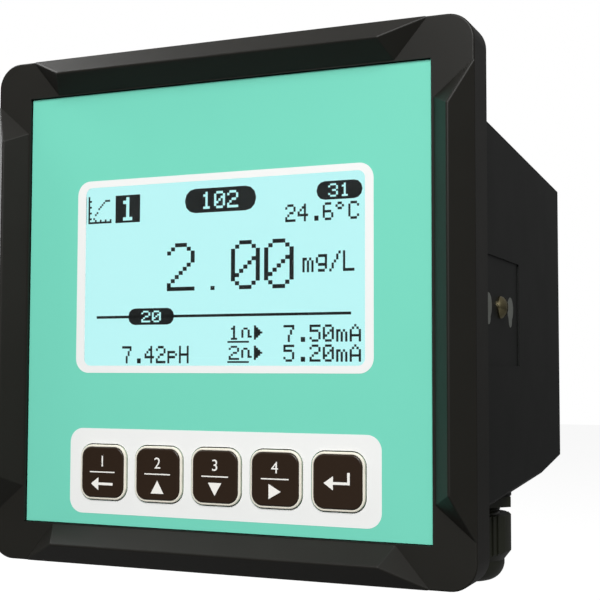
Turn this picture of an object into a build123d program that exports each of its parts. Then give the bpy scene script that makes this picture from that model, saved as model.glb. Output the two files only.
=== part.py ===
from build123d import *
from math import cos, radians, sin, tan
import os

# Panel-mount chlorine analyzer, in millimetres.
# X runs to the right, Y runs back through the panel and Z runs up. The origin is the centre of the
# panel cut-out, in the plane where the front frame rests on the panel.

# Front frame
frame_size = 144.0
frame_corner_radius = 7.0
rim_depth = 12.0
ridge_height = 5.75
ridge_width = 10.6
ridge_peak_inset = 5.6
ridge_outer_stop = 12.0
ridge_inner_stop = 21.0
ridge_peak_stop = 24.0
ridge_rounding = 0.6
frame_edge_rounding = 0.5
plate_thickness = 3.0
corner_boss_radius = 5.0
corner_screw_inset = 12.0
rib_thickness = 2.0
fence_height = 2.5
fence_thickness = 2.0

# Front film and display window
film_side_margin = 11.5
film_end_margin = 11.1
film_thickness = 0.5
film_recess = 0.8
film_gap = 0.25
window_side_margin = 18.05
window_top_margin = 26.85
window_foot_margin = 44.05
window_x = 0.5
window_corner_radius = 2.0
window_gap = 0.1
window_lip = 1.6
window_flange_thickness = 1.0
window_hole_gap = 0.3

# Display module
glass_thickness = 2.4
glass_gap = 0.1
backlight_thickness = 3.4
display_frame_wall = 3.0
display_frame_gap = 0.1
display_board_margin = 2.0
display_spacer_radius = 2.5
display_spacer_inset = 4.0
display_tab_thickness = 1.0
display_tab_width = 4.0
display_tab_gap = 0.2
display_tab_length = 1.0
glass_ledge = 4.0
board_thickness = 1.6
board_corner_radius = 1.0

# Keys
key_count = 5
key_row_x = 0.4
key_row_margin = 25.36
key_row_foot_margin = 14.6
key_spacing = 4.07
key_cap_height = 14.0
key_cap_radius = 3.0
key_cap_thickness = 1.6
key_cap_rounding = 0.5
key_cap_proud = 0.3
key_rim_width = 0.6
key_rim_proud = 0.7
key_rim_rounding = 0.35
key_hole_gap = 0.3
key_fit_gap = 0.05
key_flange_overhang_x = 0.95
key_flange_overhang_z = 1.1
key_flange_thickness = 1.2
key_seat_gap = 0.05
key_stem_radius = 2.2
key_stem_length = 1.25
key_travel = 0.5
key_names = ("menu", "up", "down", "next", "enter")

# Tact switches on the front board
switch_body_size = 6.2
switch_body_height = 3.5
switch_plunger_radius = 1.7
switch_plunger_gap = 0.08
switch_plunger_depth = 0.8

# Front board
front_board_edge = 4.0
front_board_y = 1.5
front_boss_radius = 3.5
front_boss_inset_x = 22.0
front_boss_inset_z = 19.5
front_boss_key_gap = 15.3
front_screw_length = 8.0

# Screws
screw_radius = 1.5
screw_head_radius = 2.8
screw_head_height = 2.2
screw_hole_radius = 1.7
thread_gap = 0.05
screw_slot_width = 0.8
screw_slot_depth = 1.0
screw_tip_gap = 1.0

# Housing behind the panel
panel_lip = 3.5
collar_corner_radius = 5.0
collar_depth = 10.0
collar_wall = 4.0
wall = 3.0
box_depth = 112.0
box_top_step = 18.1
box_bottom_step = 13.1
box_top_draft = 3.24
box_bottom_draft = 3.08
heel_length = 22.9
heel_angle = 7.2
box_edge_rounding = 0.5
box_lower_chamfer = 1.8

# Seals
panel_gasket_width = 1.8
panel_gasket_thickness = 1.0
panel_gasket_inset = 0.9
seal_gap = 0.1
collar_seal_width = 1.4
collar_seal_thickness = 1.2

# Side recesses with the clamp sockets
recess_depth = 0.5
recess_height = 30.0
recess_z = -1.45
recess_rear = 51.0
recess_front_gap = 1.5
socket_spacing = 25.2
socket_radius = 3.5
socket_slot_radius = 2.0
socket_slot_drop = 3.2
socket_z = -0.15
socket_thickness = 1.5
socket_gap = 0.1
clamp_screw_y = 29.2
clamp_screw_radius = 2.0
clamp_screw_length = 9.0
clamp_head_radius = 3.2
clamp_head_height = 2.2
clamp_insert_radius = 3.0
clamp_insert_length = 6.0
clamp_boss_radius = 5.0
clamp_boss_length = 8.0
clamp_hole_gap = 0.2
clamp_head_edge = 0.4

# Rear cover
cover_side_margin = 12.5
cover_end_margin = 12.8
cover_corner_radius = 3.0
cover_thickness = 2.5
cover_gap = 0.2
cover_opening_inset_x = 9.0
cover_opening_inset_z = 7.0
cover_ledge_margin = 3.0
cover_ledge_depth = 3.5
cover_screw_inset_x = 4.5
cover_screw_inset_z = 4.5
cover_screw_length = 6.0
cover_countersink_depth = 1.4
cover_countersink_gap = 0.1
cover_edge_chamfer = 0.4
cover_gasket_width = 1.4
cover_gasket_thickness = 1.2
cover_gasket_offset = 1.3
cover_gasket_corner_radius = 4.0

# Main board and what it carries
main_board_side_gap = 6.5
main_board_end_margin = 5.7
main_board_rear_space = 30.0
main_post_radius = 4.0
main_post_inset = 5.0
main_screw_length = 9.0
terminal_depth = 14.0
terminal_height = 12.0
upper_terminal_z = 9.0
lower_terminal_z = -13.0
upper_terminal_pitch = 5.08
lower_terminal_pitch = 7.62
upper_terminal_ways = 16
lower_terminal_ways = 11
terminal_screw_radius = 1.8
terminal_screw_depth = 3.0
terminal_screw_gap = 0.2
terminal_wire_width = 3.4
terminal_wire_depth = 2.0
transformer_side_inset = 27.0
transformer_top_inset = 18.0
transformer_width = 30.0
transformer_height = 25.0
transformer_stack = 12.5
transformer_leg = 10.0
transformer_yoke = 5.0
bobbin_depth = 22.0
bobbin_base = 2.0
bobbin_base_margin = 3.0
bobbin_gap = 0.1
relay_width = 10.0
relay_height = 20.0
relay_depth = 15.5
relay_side_inset = 14.0
relay_foot_inset = 16.0
relay_pitch = 12.0
relay_count = 3
relay_edge_chamfer = 0.5
capacitor_count = 2
capacitor_radius = 5.0
capacitor_length = 16.0
capacitor_edge_chamfer = 0.6
capacitor_x = -2.0
capacitor_top_inset = 10.0
capacitor_pitch = 12.0
fuse_x = -1.0
fuse_foot_inset = 18.0
fuse_radius = 2.6
fuse_glass_step = 0.2
fuse_cap_length = 5.0
fuse_seat_gap = 0.05
fuse_holder_floor = 1.5
fuse_length = 20.0
fuse_holder_width = 8.0
fuse_holder_height = 27.0
fuse_holder_depth = 9.0
fuse_holder_end = 4.0
fuse_drop = 4.5

# Sensor board stacked in front of the main board
sensor_board_side_inset = 5.0
sensor_board_gap = 5.0
sensor_board_end_inset = 6.0
sensor_board_lead = 24.0
standoff_flat = 5.5
standoff_inset_x = 5.0
standoff_inset_z = 8.0
standoff_thread_depth = 8.0
sensor_screw_length = 7.0
shield_width = 20.0
shield_height = 24.0
shield_depth = 5.0
shield_wall = 0.5
shield_rise = 2.0
connector_width = 5.0
connector_height = 36.0

# Cable glands under the housing
gland_count = 4
gland_side_inset = 14.5
gland_y = 44.5
gland_boss_radius = 12.9
gland_boss_rise = 1.6
gland_boss_thickness = 5.0
gland_flat = 24.0
gland_hex_height = 2.9
gland_thread_radius = 9.3
gland_thread_gap = 0.08
gland_hole_gap = 0.1
gland_bore_radius = 5.5
gland_inner_length = 10.0
locknut_flat = 22.0
locknut_height = 4.0
gland_neck = 2.4
gland_spigot_length = 8.9
gland_collet_length = 4.0
gland_collet_tip_radius = 8.0
gland_collet_slots = 6
gland_collet_slot_width = 1.2
gland_seal_bore = 5.0
gland_seal_wall = 2.35
gland_seal_gap = 0.05
gland_seal_length = 9.5
nut_grip_radius = 12.9
nut_grip_length = 10.2
nut_shoulder_length = 2.7
nut_shoulder_radius = 10.8
nut_dome_height = 6.0
nut_dome_tip_radius = 6.6
nut_rib_count = 4
nut_rib_pitch = 1.7
nut_rib_width = 0.9
nut_rib_height = 0.5
nut_first_flat = 20.0
nut_thread_depth = 8.9
nut_cone_length = 8.0

# Levels along Y, worked out from the sizes above
front_level = -rim_depth
film_front = front_level + film_recess
plate_front = film_front + film_thickness
plate_back = plate_front + plate_thickness
glass_front = plate_front + window_flange_thickness + glass_gap
glass_back = glass_front + glass_thickness
backlight_back = glass_back + backlight_thickness
display_board_back = backlight_back + board_thickness
switch_front = front_board_y - switch_body_height
carrier_front = film_front - key_rim_proud
carrier_floor = carrier_front - key_cap_proud + key_cap_thickness
carrier_back = plate_back + key_seat_gap + key_flange_thickness
stem_end = carrier_back + key_stem_length

# Widths and places used by several pieces
half_frame = frame_size / 2
collar_size = frame_size - 2 * panel_lip
half_collar = collar_size / 2
film_width = frame_size - 2 * film_side_margin
film_height = frame_size - 2 * film_end_margin
window_width = film_width - 2 * window_side_margin
window_height = film_height - window_top_margin - window_foot_margin
window_z = film_height / 2 - window_top_margin - window_height / 2
key_pitch = (film_width - 2 * key_row_margin) / (key_count - 1)
key_row_z = key_row_foot_margin - film_height / 2
key_cap_width = key_pitch - key_spacing
front_boss_x = half_frame - front_boss_inset_x
front_boss_upper_z = half_frame - front_boss_inset_z
front_boss_lower_z = key_row_z + front_boss_key_gap
front_board_width = 2 * (front_boss_x + front_board_edge)
front_board_height = 2 * (front_boss_upper_z + front_board_edge)
cavity_size = collar_size - 2 * collar_wall
corner_screw = half_frame - corner_screw_inset
glass_width = window_width + 2 * window_lip
glass_height = window_height + 2 * window_lip
display_frame_width = glass_width + 2 * display_frame_wall
display_frame_height = glass_height + 2 * display_frame_wall
display_board_width = display_frame_width + 2 * display_board_margin
display_board_height = display_frame_height + 2 * display_board_margin
key_width = key_cap_width + 2 * key_rim_width
key_height = key_cap_height + 2 * key_rim_width
key_radius = key_cap_radius + key_rim_width
recess_floor = half_collar - recess_depth
box_top_at_panel = half_collar - box_top_step
box_bottom_at_panel = half_collar - box_bottom_step
gland_pitch = (collar_size - 2 * gland_side_inset) / (gland_count - 1)
gland_boss_bottom = gland_boss_rise - box_bottom_at_panel
gland_boss_top = gland_boss_bottom + gland_boss_thickness
gland_hex_bottom = gland_boss_bottom - gland_hex_height
gland_spigot_bottom = gland_hex_bottom - gland_spigot_length
nut_top = gland_hex_bottom - gland_neck
nut_grip_bottom = nut_top - nut_grip_length
nut_shoulder_bottom = nut_grip_bottom - nut_shoulder_length
nut_bottom = nut_shoulder_bottom - nut_dome_height


def box_top(y):
    """Height of the housing's top face at depth y."""
    return box_top_at_panel - y * tan(radians(box_top_draft))


def box_bottom(y):
    """Height of the housing's bottom face at depth y, with the steeper heel at the rear."""
    heel_start = box_depth - heel_length
    low = -box_bottom_at_panel + min(y, heel_start) * tan(radians(box_bottom_draft))
    return low + max(y - heel_start, 0) * tan(radians(heel_angle))


# The rear cover and the boards take their sizes from the housing round them
cover_width = collar_size - 2 * cover_side_margin
cover_height = box_top(box_depth) - box_bottom(box_depth) - 2 * cover_end_margin
cover_z = (box_top(box_depth) + box_bottom(box_depth)) / 2
cover_opening_width = cover_width - 2 * cover_opening_inset_x
cover_opening_height = cover_height - 2 * cover_opening_inset_z
main_board_y = box_depth - main_board_rear_space
main_board_back = main_board_y + board_thickness
main_board_width = collar_size - 2 * main_board_side_gap
main_board_height = box_top(main_board_y) - box_bottom(main_board_y) - 2 * main_board_end_margin
main_board_z = (box_top(main_board_y) + box_bottom(main_board_y)) / 2
main_board_left = -main_board_width / 2
main_board_upper = main_board_z + main_board_height / 2
main_board_lower = main_board_z - main_board_height / 2
main_post_x = main_board_width / 2 - main_post_inset
main_post_z = main_board_height / 2 - main_post_inset
transformer_x = main_board_left + transformer_side_inset
transformer_z = main_board_upper - transformer_top_inset
relay_x = main_board_left + relay_side_inset
relay_z = main_board_lower + relay_foot_inset
capacitor_z = main_board_upper - capacitor_top_inset
fuse_z = main_board_lower + fuse_foot_inset
sensor_board_y = main_board_y - sensor_board_lead
sensor_board_left = capacitor_x + capacitor_radius + sensor_board_gap
sensor_board_right = main_board_width / 2 - sensor_board_side_inset
sensor_board_width = sensor_board_right - sensor_board_left
sensor_board_height = main_board_height - 2 * sensor_board_end_inset
sensor_board_x = (sensor_board_left + sensor_board_right) / 2
sensor_board_z = main_board_z

pieces = {}


def at_y(y):
    """Work plane facing the front at depth y: its x is the object's X and its y is the object's Z."""
    return Plane(origin=(0, y, 0), x_dir=(1, 0, 0), z_dir=(0, -1, 0))


def slab(outline, front, back):
    """Outline drawn as seen from the front, filled between two depths."""
    return extrude(at_y(back) * outline, amount=back - front)


def plate(width, height, radius, front, back, x=0.0, z=0.0):
    """Rounded rectangular plate between two depths."""
    outline = RectangleRounded(width, height, radius) if radius > 0 else Rectangle(width, height)
    return slab(Pos(x, z) * outline, front, back)


def rod(radius, front, back, x=0.0, z=0.0):
    """Round bar along Y between two depths."""
    return slab(Pos(x, z) * Circle(radius), front, back)


def ring(width, height, radius, band, front, back, x=0.0, z=0.0):
    """Rounded rectangular ring whose outline has the given outer size and whose band lies inside it."""
    outline = RectangleRounded(width, height, radius)
    hole = RectangleRounded(width - 2 * band, height - 2 * band, radius - band)
    return slab(Pos(x, z) * (outline - hole), front, back)


def post(radius, low, high, x, y):
    """Round bar along Z between two heights."""
    return Pos(x, y, low) * extrude(Circle(radius), amount=high - low)


def group(shapes):
    """Several separate solids that share one node."""
    solids = []
    for shape in shapes:
        solids += shape.solids()
    return Compound(children=solids)


def corners(x, z, centre_x=0.0, centre_z=0.0):
    """The four places at plus and minus x and z about a centre."""
    return [(centre_x + i * x, centre_z + j * z) for i in (-1, 1) for j in (-1, 1)]


def cheese_screw(seat, length, toward, x, z):
    """Slotted cheese-head screw along Y: its head is outside the seat and its shank runs toward +Y or -Y."""
    shank = rod(screw_radius, *sorted((seat, seat + toward * length)), x, z)
    head_end = seat - toward * screw_head_height
    head = rod(screw_head_radius, *sorted((seat, head_end)), x, z)
    slot_end = head_end + toward * screw_slot_depth
    slot = plate(2.2 * screw_head_radius, screw_slot_width, 0, *sorted((head_end, slot_end)), x, z)
    return shank + (head - slot)


# Front frame

def ridge():
    """Triangular ridge along the top side of the frame, cut off at each end by a sloping facet."""
    inner_base = half_frame - ridge_width
    peak = half_frame - ridge_peak_inset
    profile = Plane.YZ * Polygon(
        (front_level, half_frame),
        (front_level - ridge_height, peak),
        (front_level, inner_base),
        align=None,
    )
    bar = extrude(profile, amount=half_frame, both=True)
    for side in (-1, 1):
        outer = Vector(side * (half_frame - ridge_outer_stop), front_level, half_frame)
        inner = Vector(side * (half_frame - ridge_inner_stop), front_level, inner_base)
        top = Vector(side * (half_frame - ridge_peak_stop), front_level - ridge_height, peak)
        normal = (inner - outer).cross(top - outer)
        if normal.X * side < 0:
            normal = -normal
        bar = split(bar, bisect_by=Plane(origin=outer, z_dir=normal), keep=Keep.BOTTOM)
    proud = bar.edges().filter_by(lambda edge: edge.center().Y < front_level - 0.1)
    return fillet(proud, ridge_rounding)


def frame_bosses():
    """Bosses behind the front plate for the housing screws and for the front board."""
    bosses = [rod(corner_boss_radius, plate_back, 0, x, z) for x, z in corners(corner_screw, corner_screw)]
    bosses += [rod(front_boss_radius, plate_back, front_board_y, x, z) for x, z in front_board_holes()]
    return bosses


def front_board_holes():
    """Places of the six screws that hold the front board."""
    rows = (front_boss_upper_z, front_boss_lower_z, -front_boss_upper_z)
    return [(side * front_boss_x, z) for side in (-1, 1) for z in rows]


def frame_ribs():
    """Ribs that tie each corner boss to the two walls beside it."""
    reach = cavity_size / 2 - corner_screw
    middle = corner_screw + reach / 2
    ribs = []
    for i in (-1, 1):
        for j in (-1, 1):
            ribs.append(plate(reach + 1, rib_thickness, 0, plate_back, 0, i * middle, j * corner_screw))
            ribs.append(plate(rib_thickness, reach + 1, 0, plate_back, 0, i * corner_screw, j * middle))
    return ribs


def key_places():
    """Centre of each key along X, from left to right."""
    first = key_row_x - key_pitch * (key_count - 1) / 2
    return [first + key_pitch * i for i in range(key_count)]


def bezel_frame():
    body = plate(frame_size, frame_size, frame_corner_radius, front_level, 0)
    side_edges = body.faces().sort_by(Axis.Y)[0].edges()
    body = fillet(side_edges, frame_edge_rounding)
    first_ridge = ridge()
    for turn in range(4):
        body += Rot(0, 90 * turn, 0) * first_ridge
    body -= plate(film_width + 2 * film_gap, film_height + 2 * film_gap, 0,
                  front_level - ridge_height, plate_front)
    body -= plate(cavity_size, cavity_size, collar_corner_radius, plate_back, 1)
    fence_width = display_frame_width + 2 * display_frame_gap
    fence_tall = display_frame_height + 2 * display_frame_gap
    fence_back = plate_back + fence_height
    body += plate(fence_width + 2 * fence_thickness, fence_tall + 2 * fence_thickness, fence_thickness,
                  plate_back, fence_back, window_x, window_z)
    body -= plate(fence_width, fence_tall, 0, plate_back, fence_back + 1, window_x, window_z)
    for piece in frame_bosses() + frame_ribs():
        body += piece
    body -= plate(glass_width + 2 * window_hole_gap, glass_height + 2 * window_hole_gap, 0,
                  plate_front - 1, plate_back + 1, window_x, window_z)
    for x in key_places():
        body -= plate(key_width + 2 * key_hole_gap, key_height + 2 * key_hole_gap,
                      key_radius + key_hole_gap, plate_front - 1, plate_back + 1, x, key_row_z)
    thread = screw_radius + thread_gap
    for x, z in corners(corner_screw, corner_screw):
        body -= rod(thread, plate_back + 1, 1, x, z)
    for x, z in front_board_holes():
        body -= rod(thread, plate_back + 1, front_board_y + 1, x, z)
    groove = panel_gasket_width + 2 * seal_gap
    size = frame_size - 2 * (panel_gasket_inset - seal_gap)
    body -= ring(size, size, frame_corner_radius - panel_gasket_inset + seal_gap, groove,
                 -panel_gasket_thickness, 1)
    return body


def panel_gasket():
    size = frame_size - 2 * panel_gasket_inset
    return ring(size, size, frame_corner_radius - panel_gasket_inset, panel_gasket_width,
                -panel_gasket_thickness, 0)


def overlay_film():
    film = plate(film_width, film_height, 0, film_front, plate_front)
    film -= plate(window_width, window_height, window_corner_radius,
                  film_front - 1, plate_front + 1, window_x, window_z)
    for x in key_places():
        film -= plate(key_width + 2 * key_hole_gap, key_height + 2 * key_hole_gap,
                      key_radius + key_hole_gap, film_front - 1, plate_front + 1, x, key_row_z)
    return film


def display_window():
    """Clear window: its raised middle fills the hole in the film and its flange lies behind the film."""
    middle = plate(window_width - 2 * window_gap, window_height - 2 * window_gap,
                   window_corner_radius - window_gap, film_front, plate_front, window_x, window_z)
    flange = plate(glass_width, glass_height, window_corner_radius,
                   plate_front, plate_front + window_flange_thickness, window_x, window_z)
    return middle + flange


# Display module

def lcd_glass():
    """Two bonded panes: the rear one is longer at the foot, where the contacts leave it."""
    half = glass_thickness / 2
    front_pane = plate(glass_width, glass_height - glass_ledge, 0, glass_front, glass_front + half,
                       window_x, window_z + glass_ledge / 2)
    rear_pane = plate(glass_width, glass_height, 0, glass_front + half, glass_back, window_x, window_z)
    return front_pane + rear_pane


def backlight():
    return plate(glass_width, glass_height, 0, glass_back, backlight_back, window_x, window_z)


def display_frame_tabs():
    """Bent tabs of the metal frame that pass through the display board."""
    x = display_frame_width / 2 - display_frame_wall / 2
    return corners(x, display_frame_height / 4, window_x, window_z)


def lcd_frame():
    frame = plate(display_frame_width, display_frame_height, 0, plate_back + glass_gap, backlight_back,
                  window_x, window_z)
    frame -= plate(glass_width + 2 * display_frame_gap, glass_height + 2 * display_frame_gap, 0,
                   plate_back, backlight_back + 1, window_x, window_z)
    for x, z in display_frame_tabs():
        frame += plate(display_tab_thickness, display_tab_width, 0,
                       backlight_back, display_board_back + display_tab_length, x, z)
    return frame


def lcd_board():
    board = plate(display_board_width, display_board_height, board_corner_radius,
                  backlight_back, display_board_back, window_x, window_z)
    for x, z in display_frame_tabs():
        board -= plate(display_tab_thickness + 2 * display_tab_gap, display_tab_width + 2 * display_tab_gap, 0,
                       backlight_back - 1, display_board_back + 1, x, z)
    return board


def lcd_spacers():
    places = corners(display_board_width / 2 - display_spacer_inset,
                     display_board_height / 2 - display_spacer_inset, window_x, window_z)
    return group(rod(display_spacer_radius, display_board_back, front_board_y, x, z) for x, z in places)


def front_board():
    back = front_board_y + board_thickness
    board = plate(front_board_width, front_board_height, board_corner_radius, front_board_y, back)
    for x, z in front_board_holes():
        board -= rod(screw_hole_radius, front_board_y - 1, back + 1, x, z)
    return board


def front_board_screws():
    seat = front_board_y + board_thickness
    return group(cheese_screw(seat, front_screw_length, -1, x, z) for x, z in front_board_holes())


# Keys and their switches

def key_cap(x):
    front = carrier_front - key_cap_proud
    cap = plate(key_cap_width, key_cap_height, key_cap_radius, front, carrier_floor, x, key_row_z)
    return fillet(cap.faces().sort_by(Axis.Y)[0].edges(), key_cap_rounding)


def key_carrier(x):
    """Cream shell round the cap, kept behind the plate by its flange, with a stem on the switch."""
    flange_front = plate_back + key_seat_gap
    shell = plate(key_width, key_height, key_radius, carrier_front, flange_front, x, key_row_z)
    shell = fillet(shell.faces().sort_by(Axis.Y)[0].edges(), key_rim_rounding)
    shell += plate(key_width + 2 * key_flange_overhang_x, key_height + 2 * key_flange_overhang_z,
                   key_radius, flange_front, carrier_back, x, key_row_z)
    shell -= plate(key_cap_width + 2 * key_fit_gap, key_cap_height + 2 * key_fit_gap,
                   key_cap_radius + key_fit_gap, carrier_front - 1, carrier_floor, x, key_row_z)
    return shell + rod(key_stem_radius, carrier_back, stem_end, x, key_row_z)


def switch_plunger(x):
    return rod(switch_plunger_radius, stem_end, switch_front + switch_plunger_depth, x, key_row_z)


def switch_bodies():
    bodies = []
    for x in key_places():
        body = plate(switch_body_size, switch_body_size, 0, switch_front, front_board_y, x, key_row_z)
        hole_end = switch_front + switch_plunger_depth + 2 * key_travel
        body -= rod(switch_plunger_radius + switch_plunger_gap, switch_front - 1, hole_end, x, key_row_z)
        bodies.append(body)
    return group(bodies)


# Housing

def box_side(front):
    """Side outline of the tapered box, from the given depth to the rear face."""
    heel_start = box_depth - heel_length
    return Polygon(
        (front, box_top(front)),
        (front, box_bottom(front)),
        (heel_start, box_bottom(heel_start)),
        (box_depth, box_bottom(box_depth)),
        (box_depth, box_top(box_depth)),
        align=None,
    )


def box_shell():
    """Outer form of the tapered box with its rounded upper edges and chamfered lower edges."""
    outer = extrude(Plane.YZ * box_side(collar_depth - wall), amount=half_collar, both=True)
    lower = [edge for edge in outer.edges() if edge.center().Z < -box_bottom_at_panel / 2
             and abs(edge.center().X) > half_collar - 1
             and collar_depth < edge.center().Y < box_depth - 1]
    outer = chamfer(lower, box_lower_chamfer)
    upper = [edge for edge in outer.edges() if edge.center().Z > box_top_at_panel / 2
             and abs(edge.center().X) > half_collar - 1
             and collar_depth < edge.center().Y < box_depth - 1]
    rear = outer.faces().sort_by(Axis.Y)[-1].edges()
    return fillet(upper + list(rear), box_edge_rounding)


def box_cavity():
    """Space inside the box, one wall thickness in from its outside and open towards the collar."""
    inner = offset(box_side(-2 * wall), -wall, kind=Kind.INTERSECTION)
    return extrude(Plane.YZ * inner, amount=half_collar - wall, both=True)


def gland_places():
    """Centre of each gland along X, from left to right."""
    first = -gland_pitch * (gland_count - 1) / 2
    return [first + gland_pitch * i for i in range(gland_count)]


def cover_screw_places():
    return corners(cover_width / 2 - cover_screw_inset_x, cover_height / 2 - cover_screw_inset_z, 0, cover_z)


def main_board_holes():
    return corners(main_post_x, main_post_z, 0, main_board_z)


def socket_outline(gap):
    """Keyhole outline: a disc with a narrower rounded slot below it."""
    disc = Circle(socket_radius + gap)
    slot = Pos(0, -socket_slot_drop / 2) * Rectangle(2 * (socket_slot_radius + gap), socket_slot_drop)
    end = Pos(0, -socket_slot_drop) * Circle(socket_slot_radius + gap)
    return disc + slot + end


def socket_places():
    return [clamp_screw_y - socket_spacing / 2, clamp_screw_y + socket_spacing / 2]


def on_side(side, x):
    """Work plane on the left (-1) or right (+1) side, facing outwards at the given distance from the middle."""
    return Plane(origin=(side * x, 0, 0), x_dir=(0, side, 0), z_dir=(side, 0, 0))


def side_bar(side, outline, inner, outer):
    """Outline drawn on one side of the housing, filled between two distances from the middle."""
    return extrude(on_side(side, inner) * outline, amount=outer - inner)


def housing():
    body = plate(collar_size, collar_size, collar_corner_radius, 0, collar_depth)
    body += box_shell()
    body -= plate(cavity_size, cavity_size, collar_corner_radius - 1, -1, collar_depth - wall)
    body -= box_cavity()

    # Tubes for the four screws that pull the housing against the front frame
    for x, z in corners(corner_screw, corner_screw):
        body += rod(corner_boss_radius, 0, collar_depth, x, z)
        body -= rod(screw_hole_radius, -1, collar_depth + 1, x, z)

    # Groove for the seal in the front edge
    groove = collar_seal_width + 2 * seal_gap
    size = cavity_size + collar_wall + groove
    body -= ring(size, size, collar_corner_radius, groove, -1, collar_seal_thickness)

    # Side recesses with their keyhole pockets and the boss for the clamp screw
    recess_front = collar_depth + recess_front_gap
    recess_length = recess_rear - recess_front
    recess_middle = (recess_rear + recess_front) / 2
    for side in (-1, 1):
        recess = Pos(side * recess_middle, recess_z) * Rectangle(recess_length, recess_height)
        body -= side_bar(side, recess, recess_floor, half_collar + 1)
        boss = Pos(side * clamp_screw_y, socket_z) * Circle(clamp_boss_radius)
        body += side_bar(side, boss, half_collar - wall - clamp_boss_length, half_collar - wall)
        for y in socket_places():
            pocket = Pos(side * y, socket_z) * socket_outline(socket_gap)
            body -= side_bar(side, pocket, recess_floor - socket_thickness, half_collar + 1)
        insert = Pos(side * clamp_screw_y, socket_z) * Circle(clamp_insert_radius)
        insert_outer = half_collar - wall - clamp_boss_length + clamp_insert_length
        body -= side_bar(side, insert, half_collar - wall - clamp_boss_length - 1, insert_outer)
        hole = Pos(side * clamp_screw_y, socket_z) * Circle(clamp_screw_radius + clamp_hole_gap)
        body -= side_bar(side, hole, insert_outer - 1, half_collar + 1)

    # Rear opening with its ledge, rebate and gasket groove
    ledge_front = box_depth - cover_thickness - cover_ledge_depth
    body += plate(cover_width + 2 * cover_ledge_margin, cover_height + 2 * cover_ledge_margin,
                  cover_corner_radius, ledge_front, box_depth - wall, 0, cover_z)
    body -= plate(cover_width + 2 * cover_gap, cover_height + 2 * cover_gap, cover_corner_radius,
                  box_depth - cover_thickness, box_depth + 1, 0, cover_z)
    body -= plate(cover_opening_width, cover_opening_height, cover_corner_radius,
                  ledge_front - 1, box_depth, 0, cover_z)
    band = cover_gasket_width + 2 * seal_gap
    ledge_back = box_depth - cover_thickness
    body -= ring(cover_opening_width + 2 * (cover_gasket_offset + band),
                 cover_opening_height + 2 * (cover_gasket_offset + band),
                 cover_gasket_corner_radius + band, band,
                 ledge_back - cover_gasket_thickness, ledge_back + 1, 0, cover_z)
    for x, z in cover_screw_places():
        body -= rod(screw_radius + thread_gap, ledge_front - 1, box_depth, x, z)

    # Posts for the main board
    for x, z in main_board_holes():
        body += rod(main_post_radius, main_board_back, box_depth - wall, x, z)
        body -= rod(screw_radius + thread_gap, main_board_back - 1, main_board_back + main_screw_length, x, z)

    # Level bosses for the glands in the sloping floor
    for x in gland_places():
        body += post(gland_boss_radius, gland_boss_bottom, gland_boss_top, x, gland_y)
        body -= post(gland_thread_radius + gland_hole_gap, gland_boss_bottom - 1, gland_boss_top + 1,
                     x, gland_y)
    return body


def collar_seal():
    size = cavity_size + collar_wall + collar_seal_width
    return ring(size, size, collar_corner_radius - seal_gap, collar_seal_width, 0, collar_seal_thickness)


def housing_screws():
    length = collar_depth - plate_back - 1 - screw_tip_gap
    return group(cheese_screw(collar_depth, length, -1, x, z) for x, z in corners(corner_screw, corner_screw))


def clamp_sockets():
    sockets = []
    for side in (-1, 1):
        for y in socket_places():
            outline = Pos(side * y, socket_z) * socket_outline(0)
            sockets.append(side_bar(side, outline, recess_floor - socket_thickness, recess_floor))
    return group(sockets)


def clamp_screws():
    """Dome-headed screws, turned from one profile and slotted across the head."""
    seat = recess_floor
    profile = Polyline(
        (0, seat + clamp_head_height),
        (0, seat - clamp_screw_length),
        (clamp_screw_radius, seat - clamp_screw_length),
        (clamp_screw_radius, seat),
        (clamp_head_radius, seat),
        (clamp_head_radius, seat + clamp_head_edge),
    )
    dome = ThreePointArc(
        (clamp_head_radius, seat + clamp_head_edge),
        (clamp_head_radius * 0.68, seat + clamp_head_height * 0.76),
        (0, seat + clamp_head_height),
    )
    turned = revolve(Plane.XZ * make_face(profile + dome), Axis.Z)
    slot = Pos(0, 0, seat + clamp_head_height) * Box(screw_slot_width, 3 * clamp_head_radius, 2 * screw_slot_depth)
    screw = turned - slot
    right = Pos(0, clamp_screw_y, socket_z) * Rot(0, 90, 0) * Rot(0, 0, 90) * screw
    left = Pos(0, clamp_screw_y, socket_z) * Rot(0, -90, 0) * Rot(0, 0, 90) * screw
    return group([right, left])


def clamp_inserts():
    inner = half_collar - wall - clamp_boss_length
    inserts = []
    for side in (-1, 1):
        tube = Circle(clamp_insert_radius) - Circle(clamp_screw_radius + thread_gap)
        outline = Pos(side * clamp_screw_y, socket_z) * tube
        inserts.append(side_bar(side, outline, inner, inner + clamp_insert_length))
    return group(inserts)


# Rear cover

def rear_cover():
    front = box_depth - cover_thickness
    cover = plate(cover_width, cover_height, cover_corner_radius - cover_gap, front, box_depth, 0, cover_z)
    cover = chamfer(cover.faces().sort_by(Axis.Y)[-1].edges(), cover_edge_chamfer)
    for x, z in cover_screw_places():
        cover -= rod(screw_hole_radius, front - 1, box_depth + 1, x, z)
        cone = Cone(screw_hole_radius, screw_head_radius + cover_countersink_gap, cover_countersink_depth,
                    align=(Align.CENTER, Align.CENTER, Align.MIN))
        cover -= Pos(x, box_depth - cover_countersink_depth, z) * Rot(-90, 0, 0) * cone
    return cover


def rear_cover_gasket():
    band = cover_gasket_width
    back = box_depth - cover_thickness
    offset_out = cover_gasket_offset + seal_gap + band
    return ring(cover_opening_width + 2 * offset_out, cover_opening_height + 2 * offset_out,
                cover_gasket_corner_radius + band, band, back - cover_gasket_thickness, back, 0, cover_z)


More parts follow.
